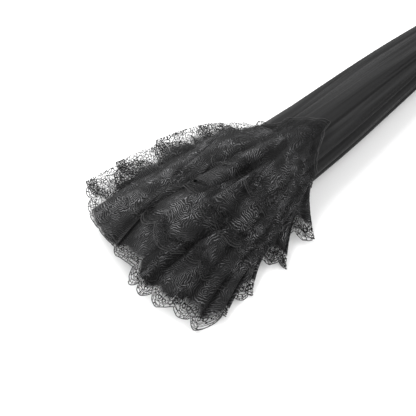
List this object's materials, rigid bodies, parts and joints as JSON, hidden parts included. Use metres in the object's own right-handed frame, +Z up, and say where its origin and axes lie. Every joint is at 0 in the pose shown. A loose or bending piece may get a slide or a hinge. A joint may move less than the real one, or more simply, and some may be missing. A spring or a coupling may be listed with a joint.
{
  "type": "lace parasol",
  "caption": "Closed black lace parasol lying on its side: telescopic handle, sliding runner that opens the ribs, and tiers of gathered lace.",
  "frame": {"origin": "on the floor, below the middle of the bounding box of the lying, closed parasol", "axes": "+X along the shaft towards the ferrule, +Y across the lace, +Z up"},
  "size_m": [0.5854, 0.224, 0.0649],
  "materials": {
    "canopy_fabric": "matte woven polyester",
    "black_lace": "open net lace with corded edges",
    "black_steel": "satin black",
    "bright_steel": "drawn",
    "bright_metal": "nickel plated",
    "black_plastic": "satin moulded",
    "dark_wood": "dark lacquered"
  },
  "bodies": {
    "shaft": {"shaft_tube": "black_steel", "crown": "black_plastic", "rib_wire": "bright_steel", "crown_cap": "black_plastic", "ferrule": "bright_metal", "lace_heading": "black_lace", "lace_tier_1": "black_lace", "lace_tier_2": "black_lace", "lace_tier_3": "black_lace", "lace_tier_4": "black_lace"},
    "catch": {"top_catch": "bright_steel"},
    "runner": {"runner": "black_plastic"},
    "handle": {"inner_shaft": "bright_steel", "handle_collar": "bright_metal", "handle_grip": "dark_wood", "pommel": "bright_metal"},
    "button": {"release_button": "black_plastic"},
    "rib_1_body": {"rib_1": "black_steel", "rib_tip_1": "bright_metal"},
    "stretcher_1_body": {"stretcher_1": "black_steel"},
    "canopy_1_left_body": {"canopy_1_left": "canopy_fabric"},
    "canopy_1_right_body": {"canopy_1_right": "canopy_fabric"},
    "rib_2_body": {"rib_2": "black_steel", "rib_tip_2": "bright_metal"},
    "stretcher_2_body": {"stretcher_2": "black_steel"},
    "canopy_2_left_body": {"canopy_2_left": "canopy_fabric"},
    "canopy_2_right_body": {"canopy_2_right": "canopy_fabric"},
    "rib_3_body": {"rib_3": "black_steel", "rib_tip_3": "bright_metal"},
    "stretcher_3_body": {"stretcher_3": "black_steel"},
    "canopy_3_left_body": {"canopy_3_left": "canopy_fabric"},
    "canopy_3_right_body": {"canopy_3_right": "canopy_fabric"},
    "rib_4_body": {"rib_4": "black_steel", "rib_tip_4": "bright_metal"},
    "stretcher_4_body": {"stretcher_4": "black_steel"},
    "canopy_4_left_body": {"canopy_4_left": "canopy_fabric"},
    "canopy_4_right_body": {"canopy_4_right": "canopy_fabric"},
    "rib_5_body": {"rib_5": "black_steel", "rib_tip_5": "bright_metal"},
    "stretcher_5_body": {"stretcher_5": "black_steel"},
    "canopy_5_left_body": {"canopy_5_left": "canopy_fabric"},
    "canopy_5_right_body": {"canopy_5_right": "canopy_fabric"},
    "rib_6_body": {"rib_6": "black_steel", "rib_tip_6": "bright_metal"},
    "stretcher_6_body": {"stretcher_6": "black_steel"},
    "canopy_6_left_body": {"canopy_6_left": "canopy_fabric"},
    "canopy_6_right_body": {"canopy_6_right": "canopy_fabric"},
    "rib_7_body": {"rib_7": "black_steel", "rib_tip_7": "bright_metal"},
    "stretcher_7_body": {"stretcher_7": "black_steel"},
    "canopy_7_left_body": {"canopy_7_left": "canopy_fabric"},
    "canopy_7_right_body": {"canopy_7_right": "canopy_fabric"},
    "rib_8_body": {"rib_8": "black_steel", "rib_tip_8": "bright_metal"},
    "stretcher_8_body": {"stretcher_8": "black_steel"},
    "canopy_8_left_body": {"canopy_8_left": "canopy_fabric"},
    "canopy_8_right_body": {"canopy_8_right": "canopy_fabric", "tie_band": "canopy_fabric", "tie_snap": "bright_metal"}
  },
  "joints": [
    {"name": "runner_slide", "type": "slide", "parent": "shaft", "child": "runner", "axis": [0.9999, 0, -0.0162], "range_m": [0, 0.19086], "deforming": ["canopy_1_left", "canopy_1_right", "canopy_2_left", "canopy_2_right", "canopy_3_left", "canopy_3_right", "canopy_4_left", "canopy_4_right", "canopy_5_left", "canopy_5_right", "canopy_6_left", "canopy_6_right", "canopy_7_left", "canopy_7_right", "canopy_8_left", "canopy_8_right", "lace_heading", "lace_tier_1", "lace_tier_2", "lace_tier_3", "lace_tier_4", "tie_band", "tie_snap"]},
    {"name": "handle_extend", "type": "slide", "parent": "shaft", "child": "handle", "axis": [-0.9999, 0, 0.0162], "range_m": [0, 0.12]},
    {"name": "release_press", "type": "slide", "parent": "handle", "child": "button", "axis": [-0.0162, 0, -0.9999], "range_m": [0, 0.0018], "stiffness_N_per_m": 400, "springref_m": -0.001},
    {"name": "catch_press", "type": "hinge", "parent": "shaft", "child": "catch", "pos_m": [0.15872, 0, 0.02179], "axis": [0, -1, 0], "range_deg": [0, 2], "stiffness_Nm_per_rad": 0.05, "springref_deg": -2.29},
    {"name": "rib_1_hinge", "type": "hinge", "parent": "shaft", "child": "rib_1_body", "pos_m": [0.22069, 0.00693, 0.01955], "axis": [-0.0149, 0.3827, -0.9238], "range_deg": [0, 74]},
    {"name": "stretcher_1_hinge", "type": "hinge", "parent": "rib_1_body", "child": "stretcher_1_body", "pos_m": [0.08573, 0.01023, 0.0231], "axis": [0.0149, -0.3827, 0.9238], "range_deg": [0, 143.79]},
    {"name": "canopy_1_left_spread", "type": "hinge", "parent": "rib_1_body", "child": "canopy_1_left_body", "pos_m": [0.22069, 0.00693, 0.01955], "axis": [-0.0062, -0.9239, -0.3826], "range_deg": [0, 21.5]},
    {"name": "canopy_1_right_spread", "type": "hinge", "parent": "rib_1_body", "child": "canopy_1_right_body", "pos_m": [0.22069, 0.00693, 0.01955], "axis": [0.0062, 0.9239, 0.3826], "range_deg": [0, 21.5]},
    {"name": "rib_2_hinge", "type": "hinge", "parent": "shaft", "child": "rib_2_body", "pos_m": [0.22076, 0.00287, 0.02361], "axis": [-0.0062, 0.9239, -0.3826], "range_deg": [0, 74]},
    {"name": "stretcher_2_hinge", "type": "hinge", "parent": "rib_2_body", "child": "stretcher_2_body", "pos_m": [0.08583, 0.00424, 0.0291], "axis": [0.0062, -0.9239, 0.3826], "range_deg": [0, 143.79]},
    {"name": "canopy_2_left_spread", "type": "hinge", "parent": "rib_2_body", "child": "canopy_2_left_body", "pos_m": [0.22076, 0.00287, 0.02361], "axis": [-0.0149, -0.3827, -0.9238], "range_deg": [0, 21.5]},
    {"name": "canopy_2_right_spread", "type": "hinge", "parent": "rib_2_body", "child": "canopy_2_right_body", "pos_m": [0.22076, 0.00287, 0.02361], "axis": [0.0149, 0.3827, 0.9238], "range_deg": [0, 21.5]},
    {"name": "rib_3_hinge", "type": "hinge", "parent": "shaft", "child": "rib_3_body", "pos_m": [0.22076, -0.00287, 0.02361], "axis": [0.0062, 0.9239, 0.3826], "range_deg": [0, 74]},
    {"name": "stretcher_3_hinge", "type": "hinge", "parent": "rib_3_body", "child": "stretcher_3_body", "pos_m": [0.08583, -0.00424, 0.0291], "axis": [-0.0062, -0.9239, -0.3826], "range_deg": [0, 143.79]},
    {"name": "canopy_3_left_spread", "type": "hinge", "parent": "rib_3_body", "child": "canopy_3_left_body", "pos_m": [0.22076, -0.00287, 0.02361], "axis": [-0.0149, 0.3827, -0.9238], "range_deg": [0, 21.5]},
    {"name": "canopy_3_right_spread", "type": "hinge", "parent": "rib_3_body", "child": "canopy_3_right_body", "pos_m": [0.22076, -0.00287, 0.02361], "axis": [0.0149, -0.3827, 0.9238], "range_deg": [0, 21.5]},
    {"name": "rib_4_hinge", "type": "hinge", "parent": "shaft", "child": "rib_4_body", "pos_m": [0.22069, -0.00693, 0.01955], "axis": [0.0149, 0.3827, 0.9238], "range_deg": [0, 74]},
    {"name": "stretcher_4_hinge", "type": "hinge", "parent": "rib_4_body", "child": "stretcher_4_body", "pos_m": [0.08573, -0.01023, 0.0231], "axis": [-0.0149, -0.3827, -0.9238], "range_deg": [0, 143.79]},
    {"name": "canopy_4_left_spread", "type": "hinge", "parent": "rib_4_body", "child": "canopy_4_left_body", "pos_m": [0.22069, -0.00693, 0.01955], "axis": [-0.0062, 0.9239, -0.3826], "range_deg": [0, 21.5]},
    {"name": "canopy_4_right_spread", "type": "hinge", "parent": "rib_4_body", "child": "canopy_4_right_body", "pos_m": [0.22069, -0.00693, 0.01955], "axis": [0.0062, -0.9239, 0.3826], "range_deg": [0, 21.5]},
    {"name": "rib_5_hinge", "type": "hinge", "parent": "shaft", "child": "rib_5_body", "pos_m": [0.2206, -0.00693, 0.01382], "axis": [0.0149, -0.3827, 0.9238], "range_deg": [0, 74]},
    {"name": "stretcher_5_hinge", "type": "hinge", "parent": "rib_5_body", "child": "stretcher_5_body", "pos_m": [0.0856, -0.01023, 0.01463], "axis": [-0.0149, 0.3827, -0.9238], "range_deg": [0, 143.79]},
    {"name": "canopy_5_left_spread", "type": "hinge", "parent": "rib_5_body", "child": "canopy_5_left_body", "pos_m": [0.2206, -0.00693, 0.01382], "axis": [0.0062, 0.9239, 0.3826], "range_deg": [0, 21.5]},
    {"name": "canopy_5_right_spread", "type": "hinge", "parent": "rib_5_body", "child": "canopy_5_right_body", "pos_m": [0.2206, -0.00693, 0.01382], "axis": [-0.0062, -0.9239, -0.3826], "range_deg": [0, 21.5]},
    {"name": "rib_6_hinge", "type": "hinge", "parent": "shaft", "child": "rib_6_body", "pos_m": [0.22054, -0.00287, 0.00976], "axis": [0.0062, -0.9239, 0.3826], "range_deg": [0, 74]},
    {"name": "stretcher_6_hinge", "type": "hinge", "parent": "rib_6_body", "child": "stretcher_6_body", "pos_m": [0.0855, -0.00424, 0.00864], "axis": [-0.0062, 0.9239, -0.3826], "range_deg": [0, 143.79]},
    {"name": "canopy_6_left_spread", "type": "hinge", "parent": "rib_6_body", "child": "canopy_6_left_body", "pos_m": [0.22054, -0.00287, 0.00976], "axis": [0.0149, 0.3827, 0.9238], "range_deg": [0, 21.5]},
    {"name": "canopy_6_right_spread", "type": "hinge", "parent": "rib_6_body", "child": "canopy_6_right_body", "pos_m": [0.22054, -0.00287, 0.00976], "axis": [-0.0149, -0.3827, -0.9238], "range_deg": [0, 21.5]},
    {"name": "rib_7_hinge", "type": "hinge", "parent": "shaft", "child": "rib_7_body", "pos_m": [0.22054, 0.00287, 0.00976], "axis": [-0.0062, -0.9239, -0.3826], "range_deg": [0, 74]},
    {"name": "stretcher_7_hinge", "type": "hinge", "parent": "rib_7_body", "child": "stretcher_7_body", "pos_m": [0.0855, 0.00424, 0.00864], "axis": [0.0062, 0.9239, 0.3826], "range_deg": [0, 143.79]},
    {"name": "canopy_7_left_spread", "type": "hinge", "parent": "rib_7_body", "child": "canopy_7_left_body", "pos_m": [0.22054, 0.00287, 0.00976], "axis": [0.0149, -0.3827, 0.9238], "range_deg": [0, 21.5]},
    {"name": "canopy_7_right_spread", "type": "hinge", "parent": "rib_7_body", "child": "canopy_7_right_body", "pos_m": [0.22054, 0.00287, 0.00976], "axis": [-0.0149, 0.3827, -0.9238], "range_deg": [0, 21.5]},
    {"name": "rib_8_hinge", "type": "hinge", "parent": "shaft", "child": "rib_8_body", "pos_m": [0.2206, 0.00693, 0.01382], "axis": [-0.0149, -0.3827, -0.9238], "range_deg": [0, 74]},
    {"name": "stretcher_8_hinge", "type": "hinge", "parent": "rib_8_body", "child": "stretcher_8_body", "pos_m": [0.0856, 0.01023, 0.01463], "axis": [0.0149, 0.3827, 0.9238], "range_deg": [0, 143.79]},
    {"name": "canopy_8_left_spread", "type": "hinge", "parent": "rib_8_body", "child": "canopy_8_left_body", "pos_m": [0.2206, 0.00693, 0.01382], "axis": [0.0062, -0.9239, 0.3826], "range_deg": [0, 21.5]},
    {"name": "canopy_8_right_spread", "type": "hinge", "parent": "rib_8_body", "child": "canopy_8_right_body", "pos_m": [0.2206, 0.00693, 0.01382], "axis": [-0.0062, 0.9239, -0.3826], "range_deg": [0, 21.5]}
  ],
  "couplings": [
    {"joint": "rib_1_hinge", "follows": "runner_slide", "rad_per_m": 6.767},
    {"joint": "stretcher_1_hinge", "follows": "runner_slide", "rad_per_m": 13.149},
    {"joint": "canopy_1_left_spread", "follows": "runner_slide", "rad_per_m": 1.9661},
    {"joint": "canopy_1_right_spread", "follows": "runner_slide", "rad_per_m": 1.9661},
    {"joint": "rib_2_hinge", "follows": "runner_slide", "rad_per_m": 6.767},
    {"joint": "stretcher_2_hinge", "follows": "runner_slide", "rad_per_m": 13.149},
    {"joint": "canopy_2_left_spread", "follows": "runner_slide", "rad_per_m": 1.9661},
    {"joint": "canopy_2_right_spread", "follows": "runner_slide", "rad_per_m": 1.9661},
    {"joint": "rib_3_hinge", "follows": "runner_slide", "rad_per_m": 6.767},
    {"joint": "stretcher_3_hinge", "follows": "runner_slide", "rad_per_m": 13.149},
    {"joint": "canopy_3_left_spread", "follows": "runner_slide", "rad_per_m": 1.9661},
    {"joint": "canopy_3_right_spread", "follows": "runner_slide", "rad_per_m": 1.9661},
    {"joint": "rib_4_hinge", "follows": "runner_slide", "rad_per_m": 6.767},
    {"joint": "stretcher_4_hinge", "follows": "runner_slide", "rad_per_m": 13.149},
    {"joint": "canopy_4_left_spread", "follows": "runner_slide", "rad_per_m": 1.9661},
    {"joint": "canopy_4_right_spread", "follows": "runner_slide", "rad_per_m": 1.9661},
    {"joint": "rib_5_hinge", "follows": "runner_slide", "rad_per_m": 6.767},
    {"joint": "stretcher_5_hinge", "follows": "runner_slide", "rad_per_m": 13.149},
    {"joint": "canopy_5_left_spread", "follows": "runner_slide", "rad_per_m": 1.9661},
    {"joint": "canopy_5_right_spread", "follows": "runner_slide", "rad_per_m": 1.9661},
    {"joint": "rib_6_hinge", "follows": "runner_slide", "rad_per_m": 6.767},
    {"joint": "stretcher_6_hinge", "follows": "runner_slide", "rad_per_m": 13.149},
    {"joint": "canopy_6_left_spread", "follows": "runner_slide", "rad_per_m": 1.9661},
    {"joint": "canopy_6_right_spread", "follows": "runner_slide", "rad_per_m": 1.9661},
    {"joint": "rib_7_hinge", "follows": "runner_slide", "rad_per_m": 6.767},
    {"joint": "stretcher_7_hinge", "follows": "runner_slide", "rad_per_m": 13.149},
    {"joint": "canopy_7_left_spread", "follows": "runner_slide", "rad_per_m": 1.9661},
    {"joint": "canopy_7_right_spread", "follows": "runner_slide", "rad_per_m": 1.9661},
    {"joint": "rib_8_hinge", "follows": "runner_slide", "rad_per_m": 6.767},
    {"joint": "stretcher_8_hinge", "follows": "runner_slide", "rad_per_m": 13.149},
    {"joint": "canopy_8_left_spread", "follows": "runner_slide", "rad_per_m": 1.9661},
    {"joint": "canopy_8_right_spread", "follows": "runner_slide", "rad_per_m": 1.9661}
  ]
}
